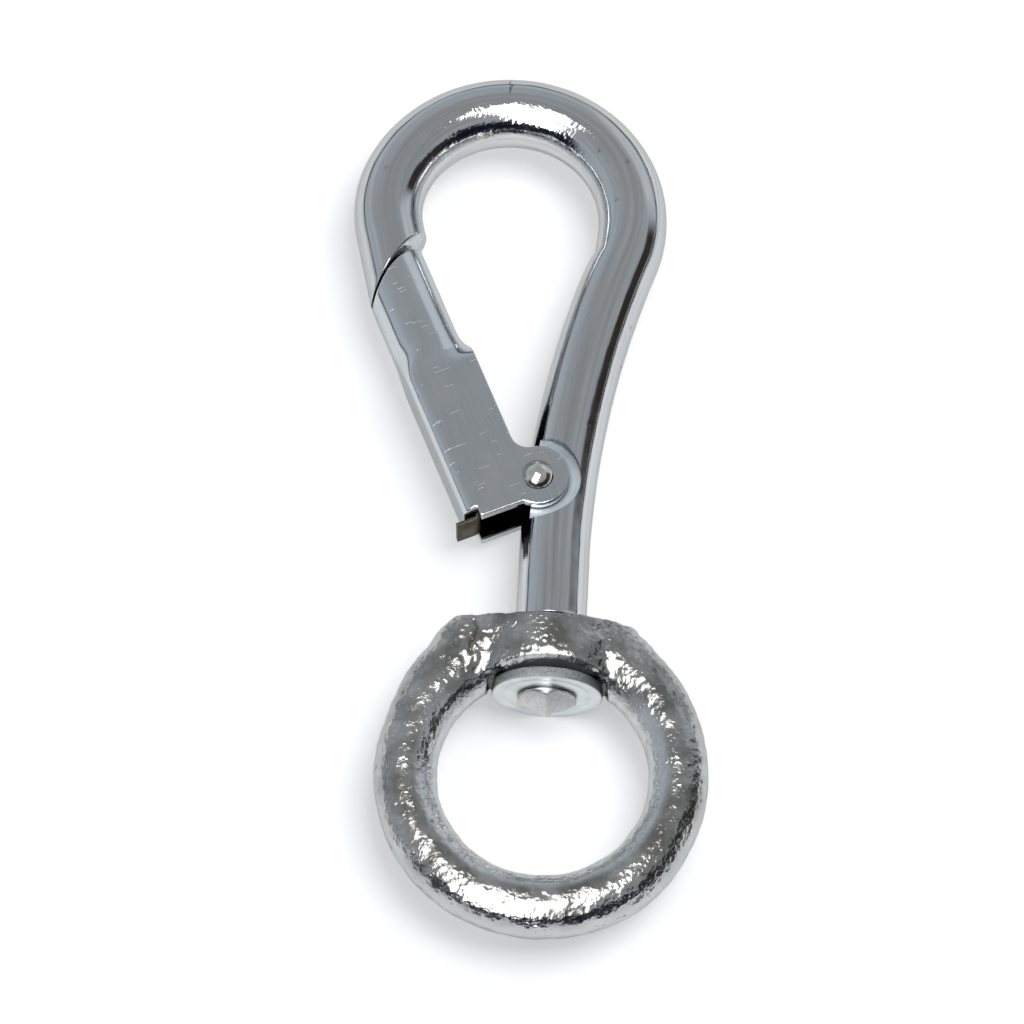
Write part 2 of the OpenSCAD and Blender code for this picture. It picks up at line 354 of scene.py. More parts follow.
def drawn_zinc():
    """Bright zinc over drawn bar: bluish, with streaks that run along the bar, a hairline
    across the outside of the bow, dark nicks, and a peel inside the bow."""
    material, tree, shader = new_metal("drawn_zinc")
    drawn = attribute_on(tree, "drawn")["Vector"]
    across_bar, up, along_bar = in_parts(tree, drawn)
    wide = plating_on(tree, drawn, 7.0, 0.55, 26.0, 0.25)
    fine = plating_on(tree, drawn, 2.2, 0.16, 9.0, 0.09)
    pale = blend_colours(tree, wide["Streak"], (0.455, 0.475, 0.49), (0.62, 0.63, 0.64))
    worn = blend_colours(tree, ramp(tree, wide["Cloud"], 0.55, 1.0, 0.0, 0.45), pale,
                         (0.55, 0.53, 0.495))
    wander = times(tree, cloudy(tree, drawn, 1.4, 3.0), hairline_wander)
    from_line = maths(tree, "SUBTRACT", sums(tree, along_bar, wander),
                      hairline_along + hairline_wander / 2)
    beside = ramp(tree, maths(tree, "ABSOLUTE", from_line), 0.03, 0.13, 1.0, 0.0)
    upper = ramp(tree, up, 1.2, 1.8)
    outside = times(tree, ramp(tree, across_bar, 0.3, 0.8),
                    ramp(tree, across_bar, 2.6, 3.1, 1.0, 0.0))
    hairline = times(tree, times(tree, beside, upper), outside)
    marked = maths(tree, "MAXIMUM", attribute_on(tree, "nicked")["Fac"], hairline)
    bow = times(tree, ramp(tree, along_bar, 57, 66), ramp(tree, along_bar, 84, 91, 1.0, 0.0))
    inner_bow = times(tree, bow, ramp(tree, across_bar, 0.0, 1.6, 1.0, 0.0))
    peel = times(tree, peel_on(tree, drawn, 0.42, 2.2), times(tree, inner_bow, 8.0))
    dress(tree, shader, blend_colours(tree, marked, worn, (0.12, 0.09, 0.06)),
          sums(tree, ramp(tree, fine["Streak"], 0, 1, 0.05, 0.12),
               ramp(tree, fine["Cloud"], 0, 1, 0.0, 0.05)),
          sums(tree, times(tree, wide["Streak"], 0.6), times(tree, fine["Streak"], 0.3),
               times(tree, fine["Grain"], 0.22), peel), 0.004)
    return material


bar_zinc = drawn_zinc()


def sweep_tree(tree, given, profile, caps):
    """Ends a tree that runs a profile along the piece's line, bent in its own plane."""
    line = put(tree, "GeometryNodeMeshToCurve", {"Mesh": given["Geometry"]})
    upright = put(tree, "GeometryNodeSetCurveNormal", {"Curve": line.outputs[0]}, mode="Z_UP")
    swept = put(tree, "GeometryNodeCurveToMesh", {
        "Curve": upright.outputs[0], "Profile Curve": profile.outputs[0], "Fill Caps": caps})
    finish_tree(tree, swept.outputs[0], given["Finish"])


def line_piece(name, points):
    return shape_piece(name, place(points), [], [(i, i + 1) for i in range(len(points) - 1)])


bar_tree, given = new_geometry_tree("Bent bar", bar_radius=bar_radius * MM, sides=bar_sides)
round_bar = put(bar_tree, "GeometryNodeCurvePrimitiveCircle",
                {"Resolution": given["Sides"], "Radius": given["Bar radius"]})
sweep_tree(bar_tree, given, round_bar, False)

centreline, bend_ends = walk((0.0, shoulder_round, math.pi / 2),
                             [(bar_bends[0][0] - shoulder_round, 0)] + bar_bends[1:], ring_spacing)
level = np.zeros(len(centreline))
centres = np.column_stack([centreline[:, :2], level])
headings = np.column_stack([np.cos(centreline[:, 2]), np.sin(centreline[:, 2]), level])
across = np.column_stack([headings[:, 1], -headings[:, 0], level])
hook_bar = line_piece("hook_bar_bent", centres)
run_tree(hook_bar, bar_tree,
         {"Bar radius": bar_radius * MM, "Sides": bar_sides, "Finish": bar_zinc})
rings = mesh_points(hook_bar).reshape(len(centres), bar_sides, 3)
spokes = rings - centres[:, None]
angles = np.arctan2(spokes[5, :, 2], spokes[5] @ across[5])

# Bending and handling leave the skin a little uneven: long waves, a flat where the bow's
# former ended on the inside, and a few nicks, as distance along, angle round, size and depth
kink_along, kink_length, kink_depth = 46.3, 1.5, 0.5
nicks = [(91.6, 0.15, 0.45, 0.14), (61.0, 1.98, 0.3, 0.05), (57.9, 1.43, 0.32, 0.05),
         (92.5, 1.35, 0.3, 0.05), (53.2, 2.06, 0.3, 0.05), (38.0, 0.4, 0.35, 0.07),
         (24.0, 1.0, 0.25, 0.05), (33.0, 0.2, 0.35, 0.10)]
for i in range(len(rings)):
    along = centreline[i, 3]
    for j in range(bar_sides):
        turn = angles[j]
        c, s = math.cos(turn), math.sin(turn)
        sink = 0.028 * noise.noise(Vector((c * 1.1, s * 1.1, along / 7.0)))
        sink += 0.010 * noise.noise(Vector((c * 3.1, s * 3.1, along / 2.1)))
        if -c > 0.2:
            sink += kink_depth * (-c) ** 3 * math.exp(-abs(along - kink_along) / kink_length)
        for near, way, size, depth in nicks:
            if abs(along - near) < 2 * size:
                gap = math.hypot(along - near, (turn - way) * bar_radius)
                sink += depth * max(0.0, 1 - (gap / size) ** 2) ** 2
        rings[i, j] -= sink * spokes[i, j] / bar_radius

# The saw leaves a face that slants across the bar and is a shallow barrel along the cut
cut_heading = math.radians(57.5)
cut_corner = np.array([-22.7172, 38.5866])
crown_radius = 11.0


def to_cut(start, way, z, gap=0.0, tilt=0.0):
    """How far a point goes along way before it meets the sawn face, which gap moves outwards
    and tilt turns about its outer corner."""
    facing = np.array([-math.sin(cut_heading + tilt), math.cos(cut_heading + tilt)])
    wanted = crown_radius - np.sqrt((crown_radius + gap) ** 2 - np.asarray(z) ** 2)
    before = (np.asarray(start)[..., :2] - cut_corner) @ facing
    return (wanted - before) / (np.asarray(way)[:2] @ facing)


nose_ring = bend_ends[3]
nose_centre, nose_way, nose_across = centres[nose_ring], headings[nose_ring], across[nose_ring]


def nose_points(radius):
    return nose_centre + radius * (np.outer(np.cos(angles), nose_across)
                                   + np.outer(np.sin(angles), [0, 0, 1]))


full = to_cut(nose_points(bar_radius), nose_way, bar_radius * np.sin(angles))
nose_round = 0.16
last = len(centres) - 1
for i in range(nose_ring, last + 1):
    share = (i - nose_ring) / (last - nose_ring)
    base = rings[nose_ring] if i > nose_ring else rings[i]
    rings[i] = base + np.outer(share * (full - nose_round), nose_way)
nose_rings = []
for radius, back in ((3.97, 0.07), (3.86, 0.0), (3.6, 0.0), (3.0, 0.0), (2.3, 0.0), (1.5, 0.0),
                     (0.7, 0.0)):
    start = nose_points(radius)
    ahead = to_cut(start, nose_way, radius * np.sin(angles)) - back
    nose_rings.append(start + np.outer(ahead, nose_way))
nose_rings.append([nose_centre + to_cut(nose_centre, nose_way, 0.0) * nose_way])


def stub_ring(y, radius):
    """A ring round the swivel axis, its height one number or one for each angle."""
    return np.column_stack([radius * np.cos(angles), np.broadcast_to(y, bar_sides),
                            radius * np.sin(angles)])


# The four bevels of the point cut into the side of the round head, as on a sharpened pencil
apex = -stub_length - head_thickness - point_height
across_corners = np.abs(np.cos(angles)) + np.abs(np.sin(angles))
bevel_edge = np.minimum(apex + point_height * across_corners, -stub_length - 0.08)
stub_rings = [np.array([[0.0, apex, 0.0]])]
for i in range(1, 15):
    share = 0.988 * i / 14
    stub_rings.append(stub_ring(apex + (bevel_edge - apex) * share, share * head_radius))
stub_rings.append(stub_ring(bevel_edge + 0.03, head_radius - 0.005))
stub_rings.append(stub_ring((bevel_edge - stub_length) / 2, head_radius))
stub_rings += [stub_ring(-stub_length - 0.02, 3.29), stub_ring(-stub_length, 3.24),
               stub_ring(-stub_length, 3.0)]
for y in (-stub_length, -7.0, -5.0, -3.0, -1.0, -0.1):
    stub_rings.append(stub_ring(y, stub_radius))
for y, radius in ((0.0, 2.9), (0.0, 3.3), (0.0, bar_radius - shoulder_round),
                  (0.01, 3.93), (0.04, 3.975), (0.08, 3.993)):
    stub_rings.append(stub_ring(y, radius))

points, faces = skin_rings(stub_rings + list(rings) + nose_rings)
hook_bar.data = shape_mesh("hook_bar_bent", place(points), faces)
hook_bar.data.materials.append(bar_zinc)
outwards(hook_bar)


def spot_facing():
    """Milled flat: fine rings round the rivet, paler and cleaner than the bar."""
    material, tree, shader = new_metal("spot_faced_steel")
    local = put(tree, "ShaderNodeTexCoord")
    centre = put(tree, "ShaderNodeVectorMath",
                 {0: local.outputs["Object"], 1: tuple(place([*pivot, 0.0]))}, operation="SUBTRACT")
    flat = put(tree, "ShaderNodeVectorMath", {0: centre.outputs[0], 1: (1 / MM, 1 / MM, 0)},
               operation="MULTIPLY").outputs[0]
    reach = put(tree, "ShaderNodeVectorMath", {0: flat}, operation="LENGTH").outputs["Value"]
    turned_out = put(tree, "ShaderNodeCombineXYZ", {"X": reach}).outputs[0]
    milling = cloudy(tree, turned_out, 4.5, 3.0)
    clouds = plating_on(tree, flat, 2.5, 0.3, 3.0, 0.1)["Cloud"]
    dress(tree, shader, blend_colours(tree, clouds, (0.56, 0.62, 0.67), (0.70, 0.75, 0.78)),
          ramp(tree, milling, 0.3, 0.7, 0.3, 0.42), milling, 0.01)
    return material


def painted_shade_wall():
    """The wall that the milling cutter leaves: near black as a painted shade from the ear, with
    torn paler flecks.
    """
    material, tree, shader = new_metal("painted_shade_steel")
    flecks = ramp(tree, cloudy(tree, object_place(tree), 4.5, 2.0), 0.45, 0.65)
    tree.links.new(blend_colours(tree, flecks, (0.03, 0.038, 0.043), (0.22, 0.25, 0.27)),
                   shader.inputs["Base Color"])
    shader.inputs["Roughness"].default_value = 0.32
    return material


pivot = np.array([-2.3, 16.6])
tongue_thickness = 5.2
spot_radius = 4.9
rivet_hole_radius = 1.4


def turned(profile, sides, to_place):
    """Rings from a profile of radius and height, each put in place."""
    turn = np.linspace(0, 2 * math.pi, sides, endpoint=False)
    return [to_place(radius * np.cos(turn), radius * np.sin(turn), np.full(sides, height))
            if radius > 0 else to_place(np.zeros(1), np.zeros(1), np.array([height]))
            for radius, height in profile]


def about_rivet(c, s, h):
    return np.column_stack([pivot[0] + c, pivot[1] + s, h])


def round_cutter(name, radius, low, high):
    profile = [(0, low), (radius, low), (radius, high), (0, high)]
    points, faces = skin_rings(turned(profile, 96, about_rivet))
    return outwards(shape_piece(name, place(points), faces))


well_clear = 9.0
cutters = [round_cutter("spot_face_near", spot_radius, tongue_thickness / 2, well_clear),
           round_cutter("spot_face_far", spot_radius, -well_clear, -tongue_thickness / 2),
           round_cutter("rivet_hole", rivet_hole_radius, -well_clear, well_clear)]
# The milled flats are plain; the walls of the cuts get a near-black painted shade
flat_steel, painted_shade_steel = spot_facing(), painted_shade_wall()
for cutter in cutters:
    cutter.data.materials.append(flat_steel)
    cutter.data.materials.append(painted_shade_steel)
    for face in cutter.data.polygons:
        face.material_index = int(abs(face.normal.z) < 0.5)
    cut = hook_bar.modifiers.new(cutter.name, "BOOLEAN")
    cut.operation = "DIFFERENCE"
    cut.solver = "EXACT"
    cut.material_mode = "TRANSFER"
    cut.object = cutter
settle(hook_bar)
for cutter in cutters:
    bpy.data.objects.remove(cutter)
hook_bar.data.set_sharp_from_angle(angle=math.radians(35))

# Where each point was on the straight bar, in millimetres, for the drawn streaks
where = mesh_points(hook_bar)
nearest = np.array([np.argmin(((centres - p) ** 2).sum(1)) for p in where])
offset = where - centres[nearest]
drawn = np.column_stack([(offset * across[nearest]).sum(1), offset[:, 2],
                         centreline[nearest, 3] + (offset * headings[nearest]).sum(1)])
give_attribute(hook_bar, "drawn", drawn)
turned_by = np.arctan2(drawn[:, 1], drawn[:, 0])
dark = np.zeros(len(drawn))
for near, way, size, _ in nicks:
    gap = np.hypot(drawn[:, 2] - near, (turned_by - way) * bar_radius)
    dark = np.maximum(dark, np.clip(1.1 - 1.2 * gap / size, 0, 1) * 0.8)
give_attribute(hook_bar, "nicked", dark)
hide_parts("hook_bar")
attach(hook_bar, "hook")


# ---- Swivel eye: a malleable iron casting, a round ring with a thick boss where the stub goes
# through, left rough from the sand and zinc plated over its pits and lumps.
voxel = 0.19
boss_bottom = -7.3
ring_y = -18.2
seat_radius, bore_radius = 6.85, 3.3
boss_top = -0.42


def cast_zinc():
    """Zinc over a sand casting: sparkling grain, dull pits, a trace of rust in the fold, a pale
    painted reflection on the ring's sides, and a near-black painted shade under the boss.
    """
    material, tree, shader = new_metal("cast_zinc")
    here = object_place(tree)
    plated = plating_on(tree, here, 3.5, 0.6, 0.6, 0.16)
    pits = attribute_on(tree, "pits")["Fac"]
    colour = blend_colours(tree, plated["Cloud"], (0.23, 0.225, 0.215), (0.47, 0.465, 0.455))
    # Over the plated colour: the ring's sides in a pale painted reflection, dull pits, the seat
    # under the boss in a near-black painted shade, and rust in the fold
    for mask, over in ((attribute_on(tree, "walls_painted_reflection")["Fac"], (0.58, 0.595, 0.60)),
                       (ramp(tree, pits, 0.2, 0.9, 0, 0.85), (0.12, 0.115, 0.105)),
                       (times(tree, attribute_on(tree, "calm_and_painted_shade")["Fac"], 0.85), (0.06, 0.062, 0.065)),
                       (attribute_on(tree, "rust")["Fac"], (0.13, 0.075, 0.04))):
        colour = blend_colours(tree, mask, colour, over)
    peel = sums(tree, times(tree, peel_on(tree, here, 0.5, 2.6), 11.0),
                times(tree, peel_on(tree, here, 0.3, 1.7), 6.0))
    dress(tree, shader, colour,
          sums(tree, ramp(tree, plated["Grain"], 0, 1, 0.13, 0.24), ramp(tree, pits, 0, 1, 0, 0.3)),
          sums(tree, plated["Grain"], times(tree, plated["Streak"], 0.6), peel), 0.0056)
    return material


def soften(piece, name, weights, rounds):
    """Smooths the parts of a piece that have a weight."""
    group = piece.vertex_groups.new(name=name)
    for i in np.nonzero(weights > 0)[0]:
        group.add([int(i)], float(weights[i]), "REPLACE")
    smooth = piece.modifiers.new(name, "SMOOTH")
    smooth.factor = 0.5
    smooth.iterations = rounds
    smooth.vertex_group = group.name
    settle(piece)


def fading(value, start, length):
    """Rises from 0 at a start to 1 a length further, or a length lower if it is negative."""
    return np.clip((value - start) / length, 0, 1)


def round_spot(centre, reach, middle):
    """A round patch that fades outwards from a middle value, with all over 1 cut to 1."""
    return np.clip(middle - np.linalg.norm((skin - centre) / reach, axis=1), 0, 1)


def under_top(points):
    """The heights of the points, those beside the bore cut off at the boss's flat top."""
    beside = np.abs(points[:, 0]) > bore_radius
    return np.where(beside, np.minimum(points[:, 1], boss_top), points[:, 1])


eye = shape_piece("cast_eye", [], [])
eye.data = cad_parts["swivel_eye"].data.copy()
eye.data.materials.clear()
outwards(eye)
remesh = eye.modifiers.new("Even skin", "REMESH")
remesh.mode = "VOXEL"
remesh.voxel_size = voxel * MM
remesh.use_smooth_shade = True
settle(eye)
skin = mesh_points(eye)
from_axis = np.hypot(skin[:, 0], skin[:, 2])
# The bore and the washer's seat under the boss: kept from smoothing, left without cast grain, and
# painted near black as shade
bored = (skin[:, 1] > boss_bottom - 2.2) & (
    (from_axis < seat_radius) & (skin[:, 1] < boss_bottom + 0.4) | (from_axis < bore_radius))
soften(eye, "Cast corners", (~bored).astype(float), 22)

# The boss flows into the ring at both ends, and its lower edges are well rounded
skin = mesh_points(eye)
side, height, depth = np.abs(skin[:, 0]), skin[:, 1], np.abs(skin[:, 2])
undercut = fading(depth, 2.7, 2.4) ** 1.5 * fading(height, -2.6, -4.4) * fading(side, 7.4, -2.4)
skin += (np.outer(undercut, [0, 1.5, 0])
         + np.outer(round_spot([-8.9, -2.0, 0.8], [4.2, 3.2, 4.5], 1.25), [-0.5, 1.0, 0.9])
         + np.outer(round_spot([8.6, -2.2, 0.8], [3.6, 3.0, 4.0], 1.2), [0.35, 0.4, 0.4]))
skin[:, 1] = under_top(skin)
move_points(eye, skin)
shoulders = fading(side, 6.4, 1.5) * fading(side, 13.5, -2) * fading(height, -6.9, 1.5)
lower_edge = fading(side, 5.6, -0.8) * fading(depth, 3.3, 0.6) * fading(height, -3.6, -1.0)
soften(eye, "Flowing", np.maximum(shoulders, lower_edge), 200)

# The mould had shifted: the casting is full on its left shoulder and a little on the right, and
# lean on the ring's right side. Each pair is an angle from the boss and a swelling
skin = mesh_points(eye)
from_centre = (skin - [0, ring_y, 0]) * [1, 1, 0]
reach = np.linalg.norm(from_centre, axis=1)
around = np.degrees(np.arctan2(from_centre[:, 0], from_centre[:, 1]))
swelling = [(-72, 0), (-60, 0.45), (-48, 1.1), (-38, 1.5), (-30, 1.35), (-22, 0.7), (-16, 0),
            (16, 0), (24, 0.35), (32, 0.6), (42, 0.6), (52, 0.3), (62, 0), (80, -0.35),
            (115, -0.35), (140, 0)]
swell = np.interp(around, *zip(*swelling)) * fading(reach, 11.5, 5.5)
skin += from_centre / reach[:, None] * swell[:, None]
skin[:, 1] = under_top(skin)
move_points(eye, skin)

cast_tree, given = new_geometry_tree(
    "Sand cast skin", lump_depth=0.15, grain_depth=0.075, pit_depth=0.15, seed=7)
position = put(cast_tree, "GeometryNodeInputPosition")
scaled = put(cast_tree, "ShaderNodeVectorMath", {0: position.outputs[0], 3: 1 / MM},
             operation="SCALE")
shifted = put(cast_tree, "ShaderNodeVectorMath", {0: scaled.outputs[0], 1: given["Seed"]},
              operation="ADD").outputs[0]
normal = put(cast_tree, "GeometryNodeInputNormal")
area, calm_and_painted_shade = (put(cast_tree, "GeometryNodeInputNamedAttribute", {"Name": name},
                  data_type="FLOAT").outputs[0] for name in ("rough_area", "calm_and_painted_shade"))
lumps, grain = (ramp(cast_tree, cloudy(cast_tree, shifted, scale, detail), 0.25, 0.75, -0.5, 0.5)
                for scale, detail in ((0.35, 2.0), (1.5, 4.0)))
cells = put(cast_tree, "ShaderNodeTexVoronoi", {"Vector": shifted, "Scale": 1.15}).outputs[0]
pit_shape = maths(cast_tree, "SUBTRACT", 1.0, ramp(cast_tree, cells, 0.08, 0.42))
pit_where = ramp(cast_tree, cloudy(cast_tree, shifted, 0.42, 3.0), 0.5, 0.68)
pit = times(cast_tree, pit_shape, maths(cast_tree, "MAXIMUM", pit_where, area))
kept = put(cast_tree, "GeometryNodeStoreNamedAttribute",
           {"Geometry": given["Geometry"], "Name": "pits", "Value": pit},
           data_type="FLOAT", domain="POINT")
lump_height = times(cast_tree, times(cast_tree, lumps, given["Lump depth"]),
                    ramp(cast_tree, area, 0, 1, 1.0, 3.0))
grain_height = times(cast_tree, times(cast_tree, grain, given["Grain depth"]),
                     ramp(cast_tree, area, 0, 1, 1.0, 2.2))
raised = maths(cast_tree, "SUBTRACT", sums(cast_tree, lump_height, grain_height),
               times(cast_tree, pit, given["Pit depth"]))
height = times(cast_tree, raised, ramp(cast_tree, calm_and_painted_shade, 0, 1, 1.0, 0.06))
move = put(cast_tree, "ShaderNodeVectorMath",
           {0: normal.outputs[0], 3: times(cast_tree, height, MM)}, operation="SCALE")
moved = put(cast_tree, "GeometryNodeSetPosition",
            {"Geometry": kept.outputs[0], "Offset": move.outputs[0]})
finish_tree(cast_tree, moved.outputs[0], given["Finish"])

# The casting is worst beside the boss, where the metal cooled last, and has one cold fold
worst = np.maximum(round_spot([-9.5, -3.6, 2.2], 5.0, 1.3),
                   0.75 * round_spot([9.0, -3.2, 2.0], 5.0, 1.3))


def line_gap(points, start, end):
    """How far each point is from the line between two places in a plane."""
    run = np.subtract(end, start)
    share = np.clip(((points - start) @ run) / max(run @ run, 1e-12), 0, 1)
    return np.linalg.norm(points - start - share[:, None] * run, axis=1)


fold_line = [(-8.6, -1.2), (-8.1, -2.2), (-8.4, -3.3), (-8.9, -4.2), (-8.7, -5.2)]
fold_gap = np.min([line_gap(skin[:, :2], *ends) for ends in zip(fold_line, fold_line[1:])], axis=0)
fold_gap = np.where(skin[:, 2] > 0, fold_gap, 9.0)
reach = np.hypot(skin[:, 0], skin[:, 1] - ring_y)
# The ring's sides, and the inside of its lower half, are painted pale blue-grey: a painted
# reflection of the pale room
walls_painted_reflection = np.clip(1.15 - np.abs(skin[:, 2]) / 2.6, 0, 1) * fading(reach, 10, 0.5)
walls_painted_reflection = np.maximum(walls_painted_reflection, 0.9 * fading(reach, 14.3, -0.8) * fading(skin[:, 1], -9.5, -1.5))
give_attribute(eye, "rough_area", np.where(bored, 0, worst))
# The seat mask both calms the cast grain and paints a near-black shade under the boss
give_attribute(eye, "calm_and_painted_shade", bored)
give_attribute(eye, "rust", 0.8 * np.clip(1 - fold_gap / 0.62, 0, 1) ** 2)
give_attribute(eye, "walls_painted_reflection", walls_painted_reflection)
run_tree(eye, cast_tree, {"Lump depth": 0.15, "Grain depth": 0.075, "Pit depth": 0.15, "Seed": 7,
                          "Finish": cast_zinc()})
skin = mesh_points(eye)
skin[:, 2] -= 0.35 * np.clip(1 - fold_gap / 0.34, 0, 1)
move_points(eye, skin)
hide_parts("swivel_eye")
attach(eye, "eye")


# ---- Washer: blanked from 1.2 mm sheet, pale zinc, loose on the stub between the boss and the
# peened head. Its face has a faint turned circle, and its rim is torn from the blanking.
washer_radius = 6.2
washer_hole = 3.0
washer_top = -7.5
washer_bottom = -8.7


def pale_zinc():
    """Matte pale zinc, darker and rougher on the torn rim."""
    material, tree, shader = new_metal("pale_zinc")
    local = put(tree, "ShaderNodeTexCoord")
    centred = put(tree, "ShaderNodeMapping", {
        "Vector": local.outputs["Object"], "Location": (-axis_x, 0.0, -axis_z),
        "Scale": (1 / MM, 1 / MM, 1 / MM)}).outputs[0]
    plated = plating_on(tree, centred, 2.4, 0.3, 0.3, 0.12)
    parts = in_parts(tree, centred)
    flat = put(tree, "ShaderNodeCombineXYZ", {"X": parts["X"], "Y": parts["Z"]})
    reach = put(tree, "ShaderNodeVectorMath", {0: flat.outputs[0]}, operation="LENGTH")
    rim = ramp(tree, reach.outputs["Value"], washer_radius - 0.16, washer_radius - 0.06)
    face = blend_colours(tree, plated["Cloud"], (0.66, 0.72, 0.74), (0.80, 0.82, 0.81))
    torn = blend_colours(tree, plated["Grain"], (0.17, 0.175, 0.175), (0.50, 0.51, 0.51))
    dress(tree, shader, blend_colours(tree, rim, face, torn),
          sums(tree, ramp(tree, plated["Grain"], 0, 1, 0.34, 0.46), times(tree, rim, -0.08)),
          times(tree, plated["Grain"], ramp(tree, rim, 0, 1, 0.15, 1.0)), 0.05)
    return material


# From the hole outwards along the lower face, with its turned circle, up the rim, and back
hole_rings = [(washer_hole, -8.55), (washer_hole + 0.05, -8.66)]
face_rings = [(washer_hole + 0.16, washer_bottom), (3.9, washer_bottom), (4.75, washer_bottom),
              (4.82, -8.68), (4.86, -8.66), (4.9, -8.68),
              (4.97, washer_bottom), (5.5, washer_bottom), (5.92, washer_bottom)]
rim_rings = [(6.07, -8.67), (6.16, -8.58)]
rim_rings += [(washer_radius, washer_bottom + 0.25 + 0.15 * i) for i in range(6)]
rim_rings += [(6.17, -7.57), (6.08, -7.51)]
back_rings = [(5.9, washer_top), (4.5, washer_top), (washer_hole + 0.15, washer_top),
              (washer_hole + 0.04, -7.54), (washer_hole, -7.65), (washer_hole, -8.1)]
washer_profile = hole_rings + face_rings + rim_rings + back_rings
washer_rings = turned(washer_profile, 160, lambda c, s, h: np.column_stack([c, h, s]))
for ring, (radius, _) in zip(washer_rings, washer_profile):
    if radius > 6.0:
        for point in ring:
            dent = 1 - 0.006 * abs(noise.noise(Vector(point) * 2.4))
            point *= [dent, 1, dent]
points, faces = skin_rings(washer_rings, loop=True)
washer = outwards(shape_piece("washer_blanked", place(points), faces))
washer.data.materials.append(pale_zinc())
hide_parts("washer")
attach(washer, "retaining_washer")


# ---- Gate: one blank of 1.2 mm steel sheet, folded to a channel that straddles the bar and
# rolled to a tube above its shoulders, with two ears for the rivet. Zinc plated, and scratched.
gate_lean = math.radians(24.6231)
sheet = 1.2
spine = -9.4
half_width = 4.0
fold_radius = 1.6
cheek_edge = -1.05
roll_start, roll_end = 16.5, 21.5
fold_end = half_width - fold_radius + fold_radius * math.pi / 2
seam = 0.8
nose_gap = 0.3


def in_gate(points):
    """From the gate's own frame, its origin on the rivet, to the bar's."""
    points = np.asarray(points, float)
    c, s = math.cos(gate_lean), math.sin(gate_lean)
    return np.column_stack([pivot[0] + points[:, 0] * c - points[:, 1] * s,
                            pivot[1] + points[:, 0] * s + points[:, 1] * c, points[:, 2]])


def rolled(height):
    """How far the sheet is rolled at a height: 0 is a channel, 1 a tube."""
    share = np.clip((np.asarray(height) - roll_start) / (roll_end - roll_start), 0, 1)
    return share * share * (3 - 2 * share)


def fold_sheet(blank):
    """Folds points of the flat blank, given as distance from its middle line and height, and
    returns their places on the outside and the outward directions."""
    s, height = blank[:, 0], blank[:, 1]
    roll = rolled(height)
    radius = fold_radius + (half_width - fold_radius) * roll
    flat = half_width - radius
    a = np.abs(s)
    on_fold = np.clip((a - flat) / radius, 0, math.pi / 2)
    beyond = np.clip(a - flat - radius * math.pi / 2, 0, None)
    curl = roll / half_width
    bent = beyond * curl
    tight = np.maximum(curl, 1e-6)
    curled = curl > 1e-6
    x = spine + radius - radius * np.cos(on_fold)
    x += np.where(curled, np.sin(bent) / tight, beyond)
    z = np.minimum(a, flat) + radius * np.sin(on_fold)
    z -= np.where(curled, (1 - np.cos(bent)) / tight, 0)
    angle = on_fold + bent
    side = np.where(s < 0, -1.0, 1.0)
    places = np.column_stack([x, height, z * side])
    facing = np.column_stack([-np.cos(angle), np.zeros(len(s)), np.sin(angle) * side])
    return places, facing


def arc_points(cx, cy, radius, start, end, spacing):
    count = max(3, int(abs(math.radians(end - start)) * radius / spacing))
    turn = np.radians(np.linspace(start, end, count + 1))
    return [(cx + radius * math.cos(t), cy + radius * math.sin(t)) for t in turn]


def line_points(start, end, spacing):
    count = max(1, round(math.dist(start, end) / spacing))
    return [tuple(a + (b - a) * i / count for a, b in zip(start, end)) for i in range(count + 1)]


def top_of_blank(s):
    """The height at which the rolled tube meets the sawn nose, less the gap."""
    places, _ = fold_sheet(np.column_stack([s, np.full(len(s), roll_end)]))
    way = (-math.sin(gate_lean), math.cos(gate_lean))
    return roll_end + to_cut(in_gate(places), way, places[:, 2], nose_gap, -math.radians(3))


blank_step = 0.36
ear_radius, ear_fillet = 3.6, 2.0
channel_bottom, lip_bottom = -1.1, -2.4
ear_hole = rivet_hole_radius - 0.08
flat_start = fold_end - (spine + fold_radius)
ear_start = 180 + math.degrees(math.asin(-lip_bottom / ear_radius))
fillet_x = cheek_edge + ear_fillet
fillet_y = math.sqrt((ear_radius + ear_fillet) ** 2 - fillet_x ** 2)
fillet_turn = math.degrees(math.atan2(fillet_y, fillet_x))
edge_low = flat_start + cheek_edge
edge_high = math.pi * half_width - seam / 2
ear_meets = flat_start + ear_radius * math.cos(math.radians(ear_start))
outline = line_points((0, channel_bottom), (fold_end - 0.1, channel_bottom), blank_step)
outline += line_points((fold_end, channel_bottom - 0.1), (fold_end, lip_bottom), blank_step)
outline += line_points((fold_end, lip_bottom), (ear_meets, lip_bottom), blank_step)
outline += arc_points(flat_start, 0, ear_radius, ear_start, 360 + fillet_turn, blank_step)
outline += arc_points(flat_start + fillet_x, fillet_y, ear_fillet, 180 + fillet_turn, 180,
                      blank_step)
outline += line_points((edge_low, fillet_y), (edge_low, roll_start), blank_step)
for height in np.linspace(roll_start, roll_end, 16)[1:]:
    outline.append((edge_low + (edge_high - edge_low) * float(rolled(height)), float(height)))
seam_top = float(top_of_blank(np.array([edge_high]))[0])
outline += line_points((edge_high, roll_end), (edge_high, seam_top), blank_step)
top_s = np.linspace(edge_high, 0, round(edge_high / blank_step) + 1)
outline += list(zip(top_s, top_of_blank(top_s)))
half = [outline[0]]
for point in outline[1:]:
    if math.dist(point, half[-1]) > 0.05:
        half.append((float(point[0]), float(point[1])))
outline = half + [(-x, y) for x, y in reversed(half[1:-1])]
hole_count = 28
hole = [(side * flat_start + ear_hole * math.cos(t), ear_hole * math.sin(t))
        for side in (1, -1) for t in np.linspace(0, 2 * math.pi, hole_count, endpoint=False)]


def from_hole(points):
    return np.hypot(np.abs(points[:, 0]) - flat_start, points[:, 1])


